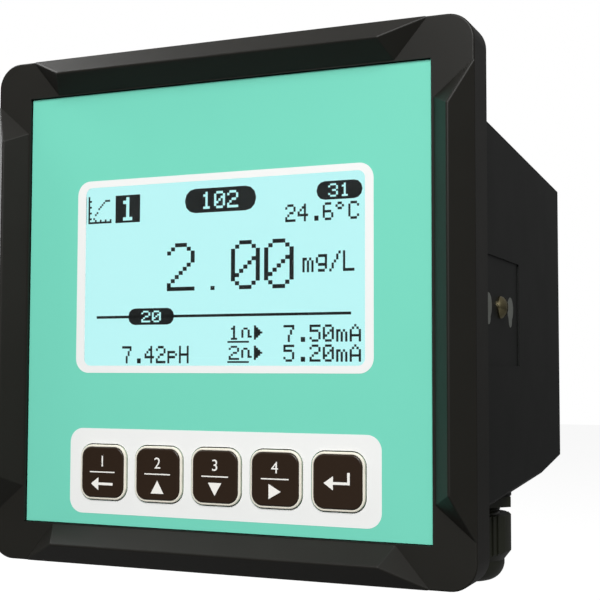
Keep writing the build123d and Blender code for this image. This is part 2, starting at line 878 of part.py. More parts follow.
def rear_cover_screws():
    screws = []
    for x, z in cover_screw_places():
        profile = Polygon(
            (0, box_depth),
            (screw_head_radius, box_depth),
            (screw_radius, box_depth - cover_countersink_depth),
            (screw_radius, box_depth - cover_screw_length),
            (0, box_depth - cover_screw_length),
            align=None,
        )
        turned = revolve(Plane.XY * profile, Axis.Y)
        slot = Pos(0, box_depth, 0) * Box(3 * screw_head_radius, screw_slot_depth, screw_slot_width)
        screws.append(Pos(x, 0, z) * (turned - slot))
    return group(screws)


# Main board and what it carries

def main_board():
    board = plate(main_board_width, main_board_height, board_corner_radius,
                  main_board_y, main_board_back, 0, main_board_z)
    for x, z in main_board_holes():
        board -= rod(screw_hole_radius, main_board_y - 1, main_board_back + 1, x, z)
    for x, z in standoff_places():
        board -= rod(screw_hole_radius, main_board_y - 1, main_board_back + 1, x, z)
    return board


def main_board_screws():
    length = main_screw_length - screw_tip_gap + board_thickness
    return group(cheese_screw(main_board_y, length, 1, x, z) for x, z in main_board_holes())


def terminal_places(ways, pitch):
    first = -pitch * (ways - 1) / 2
    return [first + pitch * i for i in range(ways)]


def terminal_block(ways, pitch, z):
    """Row of clamps: a screw well in the rear face and a wire entry in the lower face of each way."""
    back = main_board_back + terminal_depth
    low = z - terminal_height / 2
    block = plate(ways * pitch, terminal_height, 0, main_board_back, back, 0, z)
    for x in terminal_places(ways, pitch):
        well = terminal_screw_radius + terminal_screw_gap
        block -= rod(well, back - terminal_screw_depth, back + 1, x, z)
        entry = Box(terminal_wire_width, terminal_wire_width, 2 * terminal_wire_depth)
        block -= Pos(x, back - terminal_depth / 2, low) * entry
    return block


def terminal_screws():
    back = main_board_back + terminal_depth
    head_back = back - terminal_screw_depth / 2
    screws = []
    rows = (
        (upper_terminal_ways, upper_terminal_pitch, upper_terminal_z),
        (lower_terminal_ways, lower_terminal_pitch, lower_terminal_z),
    )
    for ways, pitch, z in rows:
        for x in terminal_places(ways, pitch):
            screws.append(rod(terminal_screw_radius, back - terminal_screw_depth, head_back, x, z))
    return group(screws)


def transformer_levels():
    """Front and back of the laminated core, centred on the bobbin's depth."""
    back = main_board_y - bobbin_base - (bobbin_depth - transformer_stack) / 2
    return back - transformer_stack, back


def transformer_window_width():
    return (transformer_width - 2 * transformer_yoke - transformer_leg) / 2


def transformer_core():
    front, back = transformer_levels()
    core = plate(transformer_width, transformer_height, 0, front, back, transformer_x, transformer_z)
    shift = (transformer_leg + transformer_window_width()) / 2
    for side in (-1, 1):
        core -= plate(transformer_window_width(), transformer_height - 2 * transformer_yoke, 0,
                      front - 1, back + 1, transformer_x + side * shift, transformer_z)
    return core


def transformer_winding():
    """Bobbin with its winding, filling both windows of the core round the middle leg."""
    width = transformer_leg + 2 * transformer_window_width() - 2 * bobbin_gap
    height = transformer_height - 2 * transformer_yoke - 2 * bobbin_gap
    front, back = transformer_levels()
    winding_back = main_board_y - bobbin_base
    winding = plate(width, height, 0, winding_back - bobbin_depth, winding_back, transformer_x, transformer_z)
    winding -= plate(transformer_leg + 2 * bobbin_gap, height + 2, 0, front - bobbin_gap, back + bobbin_gap,
                     transformer_x, transformer_z)
    base = plate(width + 2 * bobbin_base_margin, height + 2 * bobbin_base_margin, 0, winding_back,
                 main_board_y, transformer_x, transformer_z)
    return winding + base


def relays():
    blocks = []
    for i in range(relay_count):
        block = plate(relay_width, relay_height, 0, main_board_y - relay_depth, main_board_y,
                      relay_x + relay_pitch * i, relay_z)
        blocks.append(chamfer(block.faces().sort_by(Axis.Y)[0].edges(), relay_edge_chamfer))
    return group(blocks)


def filter_capacitors():
    cans = []
    for i in range(capacitor_count):
        can = rod(capacitor_radius, main_board_y - capacitor_length, main_board_y,
                  capacitor_x, capacitor_z - capacitor_pitch * i)
        cans.append(chamfer(can.faces().sort_by(Axis.Y)[0].edges(), capacitor_edge_chamfer))
    return group(cans)


def fuse_axis_y():
    return main_board_y - fuse_drop


def fuse_holder():
    front = main_board_y - fuse_holder_depth
    holder = plate(fuse_holder_width, fuse_holder_height, 0, front, main_board_y, fuse_x, fuse_z)
    holder -= plate(fuse_holder_width + 2, fuse_holder_height - 2 * fuse_holder_end, 0,
                    front - 1, main_board_y - fuse_holder_floor, fuse_x, fuse_z)
    holder -= post(fuse_radius + fuse_seat_gap, fuse_z - fuse_length / 2, fuse_z + fuse_length / 2, fuse_x, fuse_axis_y())
    return holder


def fuse():
    half = fuse_length / 2
    cap = half - fuse_cap_length
    glass = post(fuse_radius - fuse_glass_step, fuse_z - cap, fuse_z + cap, fuse_x, fuse_axis_y())
    lower_cap = post(fuse_radius, fuse_z - half, fuse_z - cap, fuse_x, fuse_axis_y())
    upper_cap = post(fuse_radius, fuse_z + cap, fuse_z + half, fuse_x, fuse_axis_y())
    return glass + lower_cap + upper_cap


# Sensor board

def standoff_places():
    return corners(sensor_board_width / 2 - standoff_inset_x, sensor_board_height / 2 - standoff_inset_z,
                   sensor_board_x, sensor_board_z)


def sensor_board():
    back = sensor_board_y + board_thickness
    board = plate(sensor_board_width, sensor_board_height, board_corner_radius,
                  sensor_board_y, back, sensor_board_x, sensor_board_z)
    for x, z in standoff_places():
        board -= rod(screw_hole_radius, sensor_board_y - 1, back + 1, x, z)
    return board


def board_standoffs():
    """Hexagonal pillars, each with a stud through the main board and a tapped hole for the sensor board."""
    back = sensor_board_y + board_thickness
    pillars = []
    for x, z in standoff_places():
        outline = Pos(x, z) * RegularPolygon(standoff_flat / 2, 6, major_radius=False)
        pillar = slab(outline, back, main_board_y)
        pillar += rod(screw_radius, main_board_y, main_board_back + 1, x, z)
        pillar -= rod(screw_radius + thread_gap, back - 1, back + standoff_thread_depth, x, z)
        pillars.append(pillar)
    return group(pillars)


def sensor_board_screws():
    return group(cheese_screw(sensor_board_y, sensor_screw_length, 1, x, z) for x, z in standoff_places())


def shield_can():
    front = sensor_board_y - shield_depth
    middle = sensor_board_z + shield_rise
    can = plate(shield_width, shield_height, 0, front, sensor_board_y, sensor_board_x, middle)
    can -= plate(shield_width - 2 * shield_wall, shield_height - 2 * shield_wall, 0,
                 front + shield_wall, sensor_board_y + 1, sensor_board_x, middle)
    return can


def board_connector():
    return plate(connector_width, connector_height, 0, sensor_board_y + board_thickness, main_board_y,
                 sensor_board_x, sensor_board_z)


# Cable glands

def hexagon(flat, turn=0.0):
    """Hexagon across flats, with its first flat facing the given direction in degrees from +X."""
    return Rot(0, 0, turn + 30) * RegularPolygon(flat / 2, 6, major_radius=False)


def gland_body():
    """Threaded body with a hexagon under the housing and a slotted collet inside the nut."""
    collet_bottom = gland_spigot_bottom - gland_collet_length
    turned = Polygon(
        (0, gland_boss_bottom + gland_inner_length),
        (gland_thread_radius, gland_boss_bottom + gland_inner_length),
        (gland_thread_radius, gland_spigot_bottom),
        (gland_collet_tip_radius, collet_bottom),
        (0, collet_bottom),
        align=None,
    )
    body = revolve(Plane.XZ * turned, Axis.Z)
    body += Pos(0, 0, gland_hex_bottom) * extrude(hexagon(gland_flat, nut_first_flat), amount=gland_hex_height)
    body -= post(gland_bore_radius, collet_bottom - 1, gland_boss_bottom + gland_inner_length + 1, 0, 0)
    body -= post(gland_seal_bore + gland_seal_wall + gland_seal_gap, collet_bottom - 1, seal_top(), 0, 0)
    for i in range(gland_collet_slots // 2):
        cut = Pos(0, 0, collet_bottom) * Rot(0, 0, 360 / gland_collet_slots * i)
        body -= cut * Box(3 * gland_thread_radius, gland_collet_slot_width, 2 * gland_collet_length)
    return body


def seal_top():
    return gland_spigot_bottom - gland_collet_length + gland_seal_length


def gland_seal():
    low = gland_spigot_bottom - gland_collet_length
    tube = Circle(gland_seal_bore + gland_seal_wall) - Circle(gland_seal_bore)
    return Pos(0, 0, low) * extrude(tube, amount=gland_seal_length)


def gland_locknut():
    nut = extrude(hexagon(locknut_flat), amount=locknut_height)
    nut -= Pos(0, 0, -1) * extrude(Circle(gland_thread_radius + gland_thread_gap), amount=locknut_height + 2)
    return Pos(0, 0, gland_boss_top) * nut


def nut_grip_outline():
    """Hexagon with rounded corners and narrow upright ribs on each flat."""
    outline = hexagon(gland_flat) & Circle(nut_grip_radius)
    first = -nut_rib_pitch * (nut_rib_count - 1) / 2
    for flat in range(6):
        for i in range(nut_rib_count):
            rib = Pos(gland_flat / 2, first + nut_rib_pitch * i)
            outline += Rot(0, 0, 60 * flat) * rib * Rectangle(2 * nut_rib_height, nut_rib_width)
    return Rot(0, 0, nut_first_flat) * outline


def gland_nut():
    """Domed nut: ribbed grip above, sloping shoulder and elliptical dome below, bored for thread and cable."""
    grip = Pos(0, 0, nut_grip_bottom) * extrude(nut_grip_outline(), amount=nut_grip_length)
    shoulder = Pos(0, 0, nut_grip_bottom) * extrude(nut_grip_outline(), amount=-nut_shoulder_length)
    cone = Polygon(
        (0, nut_grip_bottom),
        (nut_grip_radius, nut_grip_bottom),
        (nut_shoulder_radius, nut_shoulder_bottom),
        (0, nut_shoulder_bottom),
        align=None,
    )
    shoulder = shoulder & revolve(Plane.XZ * cone, Axis.Z)
    rise = 45
    middle = (nut_dome_tip_radius + (nut_shoulder_radius - nut_dome_tip_radius) * sin(radians(rise)) ** 0.5,
              nut_shoulder_bottom - nut_dome_height * sin(radians(rise)) * 0.8)
    side = Polyline(
        (nut_dome_tip_radius, nut_bottom),
        (0, nut_bottom),
        (0, nut_shoulder_bottom),
        (nut_shoulder_radius, nut_shoulder_bottom),
    )
    curve = ThreePointArc((nut_shoulder_radius, nut_shoulder_bottom), middle, (nut_dome_tip_radius, nut_bottom))
    dome = revolve(Plane.XZ * make_face(side + curve), Axis.Z)
    nut = grip + shoulder + dome
    thread = gland_thread_radius + gland_thread_gap
    cone_top = nut_top - nut_thread_depth
    bore = Polygon(
        (0, nut_top + 1),
        (thread, nut_top + 1),
        (thread, cone_top),
        (gland_bore_radius, cone_top - nut_cone_length),
        (gland_bore_radius, nut_bottom - 1),
        (0, nut_bottom - 1),
        align=None,
    )
    return nut - revolve(Plane.XZ * bore, Axis.Z)


# All pieces by name

def build():
    pieces["bezel_frame"] = bezel_frame()
    pieces["panel_gasket"] = panel_gasket()
    pieces["overlay_film"] = overlay_film()
    pieces["display_window"] = display_window()
    pieces["lcd_glass"] = lcd_glass()
    pieces["backlight"] = backlight()
    pieces["lcd_frame"] = lcd_frame()
    pieces["lcd_board"] = lcd_board()
    pieces["lcd_spacers"] = lcd_spacers()
    pieces["front_board"] = front_board()
    pieces["front_board_screws"] = front_board_screws()
    pieces["switch_bodies"] = switch_bodies()
    for name, x in zip(key_names, key_places()):
        pieces[f"{name}_key_cap"] = key_cap(x)
        pieces[f"{name}_key_carrier"] = key_carrier(x)
        pieces[f"{name}_switch_plunger"] = switch_plunger(x)
    pieces["housing"] = housing()
    pieces["collar_seal"] = collar_seal()
    pieces["housing_screws"] = housing_screws()
    pieces["clamp_sockets"] = clamp_sockets()
    pieces["clamp_screws"] = clamp_screws()
    pieces["clamp_inserts"] = clamp_inserts()
    pieces["rear_cover"] = rear_cover()
    pieces["rear_cover_gasket"] = rear_cover_gasket()
    pieces["rear_cover_screws"] = rear_cover_screws()
    pieces["main_board"] = main_board()
    pieces["main_board_screws"] = main_board_screws()
    pieces["upper_terminal_block"] = terminal_block(upper_terminal_ways, upper_terminal_pitch, upper_terminal_z)
    pieces["lower_terminal_block"] = terminal_block(lower_terminal_ways, lower_terminal_pitch, lower_terminal_z)
    pieces["terminal_screws"] = terminal_screws()
    pieces["transformer_core"] = transformer_core()
    pieces["transformer_winding"] = transformer_winding()
    pieces["relays"] = relays()
    pieces["filter_capacitors"] = filter_capacitors()
    pieces["fuse_holder"] = fuse_holder()
    pieces["fuse"] = fuse()
    pieces["sensor_board"] = sensor_board()
    pieces["board_standoffs"] = board_standoffs()
    pieces["sensor_board_screws"] = sensor_board_screws()
    pieces["shield_can"] = shield_can()
    pieces["board_connector"] = board_connector()
    places = [Pos(x, gland_y, 0) for x in gland_places()]
    body = gland_body()
    seal = gland_seal()
    locknut = gland_locknut()
    nut = gland_nut()
    pieces["gland_bodies"] = group(place * body for place in places)
    pieces["gland_seals"] = group(place * seal for place in places)
    pieces["gland_locknuts"] = group(place * locknut for place in places)
    for number, place in enumerate(places, start=1):
        pieces[f"gland_nut_{number}"] = place * nut


build()
os.makedirs("parts", exist_ok=True)
for name, shape in pieces.items():
    export_step(shape, f"parts/{name}.step")
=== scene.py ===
import math

import bpy
import numpy as np
from mathutils import Matrix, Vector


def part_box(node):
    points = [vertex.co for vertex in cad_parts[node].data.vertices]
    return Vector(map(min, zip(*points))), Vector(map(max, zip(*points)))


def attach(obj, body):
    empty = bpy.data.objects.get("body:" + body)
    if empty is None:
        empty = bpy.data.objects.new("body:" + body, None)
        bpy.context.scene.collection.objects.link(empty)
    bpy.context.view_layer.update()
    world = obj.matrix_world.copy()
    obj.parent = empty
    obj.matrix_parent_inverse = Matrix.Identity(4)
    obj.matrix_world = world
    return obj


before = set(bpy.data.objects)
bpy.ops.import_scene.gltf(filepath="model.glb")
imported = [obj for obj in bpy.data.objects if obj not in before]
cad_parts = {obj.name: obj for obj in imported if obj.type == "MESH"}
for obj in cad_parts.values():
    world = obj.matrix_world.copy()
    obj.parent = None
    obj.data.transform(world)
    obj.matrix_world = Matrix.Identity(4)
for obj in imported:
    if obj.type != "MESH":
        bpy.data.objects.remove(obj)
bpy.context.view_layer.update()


# Front frame. The real one is a square moulding of black ABS with four sloping ridges, spark-eroded
# to a fine satin grain so that its facets show soft light and no sharp glare. It is pulled against
# the panel by the housing behind it.

def linear(hex_colour):
    """Linear colour of an sRGB hex value: c / 12.92 in the toe and ((c + 0.055) / 1.055) ** 2.4 above it."""
    srgb = np.array([int(hex_colour[i:i + 2], 16) / 255 for i in (0, 2, 4)])
    toe = srgb / 12.92
    curve = ((srgb + 0.055) / 1.055) ** 2.4
    return (*np.where(srgb <= 0.04045, toe, curve), 1.0)


def node(tree, kind, inputs, **settings):
    """Adds one node, sets its settings, and gives each input a number, a colour or another node's output."""
    made = tree.nodes.new(kind)
    for key, value in settings.items():
        setattr(made, key, value)
    for key, value in inputs.items():
        if isinstance(value, bpy.types.NodeSocket):
            tree.links.new(value, made.inputs[key])
        else:
            made.inputs[key].default_value = value
    return made


def finish(material, *names):
    """Puts a material on every slot of the named CAD nodes."""
    for name in names:
        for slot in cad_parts[name].material_slots:
            slot.material = material


def moulded(name, colour, roughness, grain_mm, depth_mm, uneven=0.06, ior=1.5, specular=0.5):
    """Moulded or rolled surface: a grain of the given size and depth, with colour and gloss a little uneven.

    The colour is the given one times 1 plus or minus uneven, by a noise 40 times as coarse as the grain.
    The roughness follows a second noise over a span of 0.08.
    """
    material = bpy.data.materials.new(name)
    material.use_nodes = True
    tree = material.node_tree
    shader = tree.nodes["Principled BSDF"]
    shader.inputs["IOR"].default_value = ior
    shader.inputs["Specular IOR Level"].default_value = specular
    place = node(tree, "ShaderNodeTexCoord", {}).outputs["Object"]
    grain = node(tree, "ShaderNodeTexNoise", {"Vector": place, "Scale": 1000 / grain_mm, "Detail": 3.0})
    broad_mm = 40 * grain_mm
    broad = node(tree, "ShaderNodeTexNoise", {"Vector": place, "Scale": 1000 / broad_mm, "Detail": 2.0})
    dark = [channel * (1 - uneven) for channel in linear(colour)[:3]] + [1.0]
    light = [min(channel * (1 + uneven), 1.0) for channel in linear(colour)[:3]] + [1.0]
    shade = node(tree, "ShaderNodeMix", {0: broad.outputs[0], 6: dark, 7: light}, data_type="RGBA")
    gloss = node(tree, "ShaderNodeMapRange", {"Value": broad.outputs[0], "To Min": roughness - 0.04,
                                              "To Max": roughness + 0.04})
    relief = node(tree, "ShaderNodeBump", {"Height": grain.outputs[0], "Strength": 1.0,
                                           "Distance": depth_mm / 1000})
    tree.links.new(shade.outputs[2], shader.inputs["Base Color"])
    tree.links.new(gloss.outputs[0], shader.inputs["Roughness"])
    tree.links.new(relief.outputs[0], shader.inputs["Normal"])
    return material


frame_abs = moulded("satin_black_abs", "1c1b17", 0.45, grain_mm=0.35, depth_mm=0.010, ior=1.53, specular=0.25)
finish(frame_abs, "bezel_frame")


# Seals. The gaskets of the panel, the collar, the rear cover and the four glands are pressed EPDM
# rubber: deep grey-black, dull, with a slightly powdery skin.

rubber = moulded("black_epdm_rubber", "1c1c1b", 0.72, grain_mm=0.6, depth_mm=0.012, ior=1.52, specular=0.3)
finish(rubber, "panel_gasket", "collar_seal", "rear_cover_gasket", "gland_seals")


# Front film. A polycarbonate film, printed in teal on its back and lightly textured on its face,
# stuck into the frame's pocket. The white border round the display and the white field under the
# keys are printed layers, a few hundredths of a millimetre thick.

film_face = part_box("overlay_film")[0].y
ink_thickness = 0.00003
window_middle = (0.0005, 0.0086)
key_width = 0.0147
key_height = 0.0152
key_gap = 0.0003
key_hole_radius = 0.0039
keys = ("menu", "up", "down", "next", "enter")


def rounded_outline(width, height, radius, centre=(0.0, 0.0), steps=10):
    """Closed outline of a rounded rectangle, anticlockwise, with a quarter circle at each corner."""
    turns = np.linspace(0, np.pi / 2, steps)
    arcs = []
    for quarter, (sign_x, sign_z) in enumerate(((1, 1), (-1, 1), (-1, -1), (1, -1))):
        angle = turns + quarter * np.pi / 2
        arcs.append(np.stack([centre[0] + sign_x * (width / 2 - radius) + radius * np.cos(angle),
                              centre[1] + sign_z * (height / 2 - radius) + radius * np.sin(angle)], axis=1))
    return np.concatenate(arcs)


def shown(name, data):
    """New object with the given mesh, curve, lamp or camera, linked to the scene."""
    made = bpy.data.objects.new(name, data)
    bpy.context.scene.collection.objects.link(made)
    return made


def flat_shape(name, outlines, front, thickness):
    """Thin plate seen from the front: the first outlines are filled, and an outline inside another is a hole.

    The flat curve's (x, y, z) becomes (x, front + thickness - z, y), so its upper side faces the front.
    """
    curve = bpy.data.curves.new(name, "CURVE")
    curve.dimensions = "2D"
    curve.fill_mode = "BOTH"
    curve.extrude = thickness / 2
    for outline in outlines:
        spline = curve.splines.new("POLY")
        spline.points.add(len(outline) - 1)
        flat = np.zeros((len(outline), 4))
        flat[:, :2] = outline
        flat[:, 3] = 1
        spline.points.foreach_set("co", flat.ravel())
        spline.use_cyclic_u = True
    return stood_up(name, curve, front, thickness)


def stood_up(name, curve, front, thickness):
    """Mesh of a flat curve or text, turned to face the front with its face at the given depth."""
    flat = shown(name + "_flat", curve)
    bpy.context.view_layer.update()
    graph = bpy.context.evaluated_depsgraph_get()
    mesh = bpy.data.meshes.new_from_object(flat.evaluated_get(graph))
    bpy.data.objects.remove(flat)
    mesh.name = name
    mesh.transform(Matrix.Translation((0, front + thickness / 2, 0)) @ Matrix.Rotation(math.pi / 2, 4, "X"))
    mesh.materials.clear()
    return shown(name, mesh)


def dress(piece, material, body):
    """Gives a new piece its material and the body that it rides on."""
    piece.data.materials.append(material)
    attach(piece, body)


def key_hole(name):
    """Outline of the film's hole round one key, a third of a millimetre outside its cream shell."""
    low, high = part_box(name + "_key_carrier")
    middle = ((low.x + high.x) / 2, (low.z + high.z) / 2)
    return rounded_outline(key_width + 2 * key_gap, key_height + 2 * key_gap, key_hole_radius, middle)


teal = moulded("screen_printed_film", "76d9c0", 0.5, grain_mm=0.5, depth_mm=0.002, uneven=0.01, ior=1.58,
               specular=0.3)
white_ink = moulded("white_screen_ink", "f4f5f3", 0.45, grain_mm=0.5, depth_mm=0.002, uneven=0.01, ior=1.5)
finish(teal, "overlay_film")

border_outside = rounded_outline(0.0896, 0.05445, 0.004, (0.0003, 0.00857))
border_inside = rounded_outline(0.0845, 0.0505, 0.002, window_middle)
border = flat_shape("display_border_print", [border_outside, border_inside],
                    film_face - ink_thickness, ink_thickness)
dress(border, white_ink, "instrument")
field_outside = rounded_outline(0.0931, 0.02365, 0.004, (0.00065, -0.046025))
field = flat_shape("key_field_print", [field_outside] + [key_hole(name) for name in keys],
                   film_face - ink_thickness, ink_thickness)
dress(field, white_ink, "instrument")


# Display window. A clear cast acrylic pane fills the hole in the film, flush with its face: the
# display lies just behind it and shows as if it were on the surface.

acrylic = moulded("clear_acrylic", "f7ffff", 0.05, grain_mm=2.0, depth_mm=0.001, uneven=0.005, ior=1.49)
acrylic_shader = acrylic.node_tree.nodes["Principled BSDF"]
acrylic_shader.inputs["Transmission Weight"].default_value = 1.0
finish(acrylic, "display_window")


# Display. A transmissive dot-matrix module lit evenly from behind, pale cyan with black dots.
# The light guide, steel frame, circuit board and nylon spacers behind it are hidden.

def lit(name, colour, strength, dots_mm):
    """Lit display surface: an even glow with the fine mesh of the dot cells in it.

    The glow is the colour times 1 less 0.03 where a sine along X or Z, one wave for each cell, is low.
    """
    material = moulded(name, colour, 0.4, grain_mm=0.3, depth_mm=0.001, uneven=0.01, ior=1.5)
    tree = material.node_tree
    shader = tree.nodes["Principled BSDF"]
    place = node(tree, "ShaderNodeTexCoord", {}).outputs["Object"]
    cells = [node(tree, "ShaderNodeTexWave", {"Vector": place, "Scale": math.tau * 1000 / (20 * dots_mm)},
                  wave_type="BANDS", bands_direction=direction).outputs[0] for direction in ("X", "Z")]
    mesh_lines = node(tree, "ShaderNodeMath", {0: cells[0], 1: cells[1]}, operation="MINIMUM").outputs[0]
    full = linear(colour)
    less = [channel * 0.97 for channel in full[:3]] + [1.0]
    glow = node(tree, "ShaderNodeMix", {0: mesh_lines, 6: less, 7: full}, data_type="RGBA")
    tree.links.new(glow.outputs[2], shader.inputs["Emission Color"])
    shader.inputs["Emission Strength"].default_value = strength
    shader.inputs["Base Color"].default_value = (0.0, 0.0, 0.0, 1.0)
    for link in list(shader.inputs["Base Color"].links):
        tree.links.remove(link)
    return material


display_glow = lit("lit_display_glass", "c8ffff", 1.0, dots_mm=0.53)
dot_black = moulded("display_dot_black", "0a0c0c", 0.35, grain_mm=0.3, depth_mm=0.001, uneven=0.02)
light_guide = moulded("milky_light_guide", "e8f4f4", 0.3, grain_mm=1.0, depth_mm=0.002)
finish(display_glow, "lcd_glass")
finish(light_guide, "backlight")

dot_thickness = 0.00002
dot_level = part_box("lcd_glass")[0].y - 2 * dot_thickness

# The dots lie a little behind the window's face, so from the photograph's side they are drawn this far to
# the left of where they are seen.
seen_through = -0.00045

digits = {
    "0": (" ### ", "#   #", "#  ##", "# # #", "##  #", "#   #", " ### "),
    "1": ("  #  ", " ##  ", "  #  ", "  #  ", "  #  ", "  #  ", " ### "),
    "2": (" ### ", "#   #", "    #", "  ## ", " #   ", "#    ", "#####"),
    "3": (" ### ", "#   #", "    #", "  ## ", "    #", "#   #", " ### "),
    "4": ("   # ", "  ## ", " # # ", "#  # ", "#####", "   # ", "   # "),
    "5": ("#####", "#    ", "#### ", "    #", "    #", "#   #", " ### "),
    "6": (" ### ", "#    ", "#    ", "#### ", "#   #", "#   #", " ### "),
    "7": ("#####", "    #", "   # ", "   # ", "  #  ", "  #  ", "  #  "),
    ".": ("     ", "     ", "     ", "     ", "     ", "  ## ", "  ## "),
    "/": ("    #", "   # ", "   # ", "  #  ", " #   ", " #   ", "#    "),
    "o": (" ##  ", "#  # ", " ##  ", "     ", "     ", "     ", "     "),
    "C": (" ### ", "#   #", "#    ", "#    ", "#    ", "#   #", " ### "),
    "m": ("     ", "     ", "## # ", "# # #", "# # #", "# # #", "# # #"),
    "g": ("     ", " ####", "#   #", "#   #", " ####", "    #", " ### "),
    "L": ("#    ", "#    ", "#    ", "#    ", "#    ", "#    ", "#####"),
    "p": ("     ", "     ", "#### ", "#   #", "#### ", "#    ", "#    "),
    "H": ("#   #", "#   #", "#   #", "#####", "#   #", "#   #", "#   #"),
    "A": ("  #  ", " # # ", "#   #", "#   #", "#####", "#   #", "#   #"),
    ">": ("#    ", "##   ", "###  ", "#### ", "###  ", "##   ", "#    "),
    "~": ("     ", " ##  ", "#  # ", "#  # ", "#  # ", "#  ##", "     "),
}
tall_digits = {
    "2": ("  ###  ", " #   # ", "#     #", "      #", "      #", "     # ", "    #  ", "   #   ", "  #    ",
          " #     ", "#      ", "#######"),
    "0": ("  ###  ", " #   # ", "#     #", "#     #", "#    ##", "#   # #", "#  #  #", "# #   #", "##    #",
          "#     #", " #   # ", "  ###  "),
    ".": ("       ", "       ", "       ", "       ", "       ", "       ", "       ", "       ", "       ",
          "       ", "       ", "   #   "),
}


def dots_of(text, font, gap=1):
    """Grid of on and off dots for a line of text: the characters side by side with blank columns between."""
    columns = []
    for character in text:
        columns.append(np.array([[dot == "#" for dot in row] for row in font[character]]))
        columns.append(np.zeros((len(font[character]), gap), bool))
    return np.concatenate(columns[:-1], axis=1)


def dot_blocks(name, grid, left, top, width, height, front, material):
    """One closed block for each dot that is on, so that the grid fills the given rectangle.

    Block (r, c) runs over x = left + c * w .. + w and z = top - r * h .. - h, one dot thickness deep.
    """
    rows, columns = np.nonzero(grid)
    w, h = width / grid.shape[1], height / grid.shape[0]
    unit = np.array([[i, j, k] for i in (0, 1) for j in (0, 1) for k in (0, 1)], float)
    low = np.stack([left + columns * w, np.full(len(rows), front), top - (rows + 1) * h], axis=1)
    points = low[:, None, :] + unit[None] * np.array([w, dot_thickness, h])
    box = np.array([[0, 4, 5, 1], [4, 6, 7, 5], [6, 2, 3, 7], [2, 0, 1, 3], [1, 5, 7, 3], [0, 2, 6, 4]])
    faces = np.arange(len(rows))[:, None, None] * 8 + box[None]
    mesh = bpy.data.meshes.new(name)
    mesh.from_pydata(points.reshape(-1, 3), [], faces.reshape(-1, 4).tolist())
    dress(shown(name, mesh), material, "instrument")


def reading(name, text, font, left, top, width, height, material=None, front=None):
    """Line of characters on the display, in millimetres on the window's face."""
    dot_blocks(name, dots_of(text, font), left / 1000 + seen_through, top / 1000, width / 1000, height / 1000,
               dot_level if front is None else front, material or dot_black)


def pill(name, left, top, width, height, corner):
    """Black name plate on the display, with stepped round ends."""
    middle = ((left + width / 2) / 1000 + seen_through, (top - height / 2) / 1000)
    outline = rounded_outline(width / 1000, height / 1000, corner / 1000, middle, steps=4)
    dress(flat_shape(name, [outline], dot_level, dot_thickness), dot_black, "instrument")


reading("large_reading", "2.00", tall_digits, -15.4, 17.1, 38.2, 13.2)
reading("unit_sign", "mg/L", digits, 25.3, 13.3, 14.6, 5.4)
reading("temperature_reading", "24.6oC", digits, 20.3, 26.1, 20.9, 4.7)
reading("second_reading", "7.42pH", digits, -29.5, -11.2, 21.1, 4.8)
reading("upper_current", "7.50mA", digits, 19.9, -5.9, 21.8, 4.5)
reading("lower_current", "5.20mA", digits, 19.9, -11.1, 21.8, 4.5)
reading("upper_current_mark", "1~>", digits, 3.8, -5.9, 10.6, 3.8)
reading("lower_current_mark", "2~>", digits, 3.8, -11.3, 10.6, 3.8)

pill("channel_plate", -9.9, 31.9, 21.6, 6.7, 3.1)
pill("probe_plate", 29.3, 31.7, 12.8, 4.9, 2.3)
pill("lower_plate", -27.6, -0.7, 14.5, 4.6, 2.1)
pill("status_box", -32.2, 31.4, 8.0, 7.8, 0.1)
pill("dividing_line", -38.0, -2.65, 77.0, 0.75, 0.05)
pill("upper_current_line", 3.4, -10.0, 6.4, 0.5, 0.05)
pill("lower_current_line", 3.4, -15.4, 6.4, 0.5, 0.05)

glyph_level = dot_level - 0.00003
reading("channel_number", "102", digits, -4.9, 30.9, 11.3, 4.7, display_glow, glyph_level)
reading("probe_number", "31", digits, 32.6, 31.0, 6.0, 3.5, display_glow, glyph_level)
reading("lower_number", "20", digits, -23.4, -1.4, 6.2, 3.2, display_glow, glyph_level)
reading("status_number", "1", digits, -30.7, 30.8, 5.0, 6.6, display_glow, glyph_level)

# Small sign of a chart: two axes with their marks, and a curve that rises as a quarter of a sine wave.
chart_dots = 14
last = chart_dots - 1
chart = np.zeros((chart_dots, chart_dots), bool)
chart[:, 0] = True
chart[last, :] = True
chart[2:last:3, 1] = True
chart[last - 1, 4:chart_dots:3] = True
curve_columns = np.arange(3, last)
curve_turn = (curve_columns - 3) / 9 * np.pi / 2
curve_rows = np.round(11 - 9.5 * np.sin(curve_turn)).astype(int)
chart[curve_rows, curve_columns] = True
chart_left, chart_top = -0.0412 + seen_through, 0.0315
chart_width, chart_height = 0.0077, 0.0078
dot_blocks("chart_sign", chart, chart_left, chart_top, chart_width, chart_height, dot_level, dot_black)


# Boards and the display's hidden parts. Glass-epoxy boards under green solder resist with a faint
# weave, a tinned steel frame and nylon spacers.

def resist(name, colour, weave_mm):
    """Green solder resist: the glass cloth under it shows as crossed waves, one for each thread."""
    material = moulded(name, colour, 0.3, grain_mm=1.0, depth_mm=0.003, ior=1.55)
    tree = material.node_tree
    shader = tree.nodes["Principled BSDF"]
    place = node(tree, "ShaderNodeTexCoord", {}).outputs["Object"]
    threads = [node(tree, "ShaderNodeTexWave", {"Vector": place, "Scale": math.tau * 1000 / (20 * weave_mm)},
                    bands_direction=direction).outputs[0] for direction in ("X", "Z")]
    cloth = node(tree, "ShaderNodeMath", {0: threads[0], 1: threads[1]}, operation="MULTIPLY").outputs[0]
    relief = node(tree, "ShaderNodeBump", {"Height": cloth, "Strength": 1.0, "Distance": 0.00001})
    tree.links.new(relief.outputs[0], shader.inputs["Normal"])
    return material


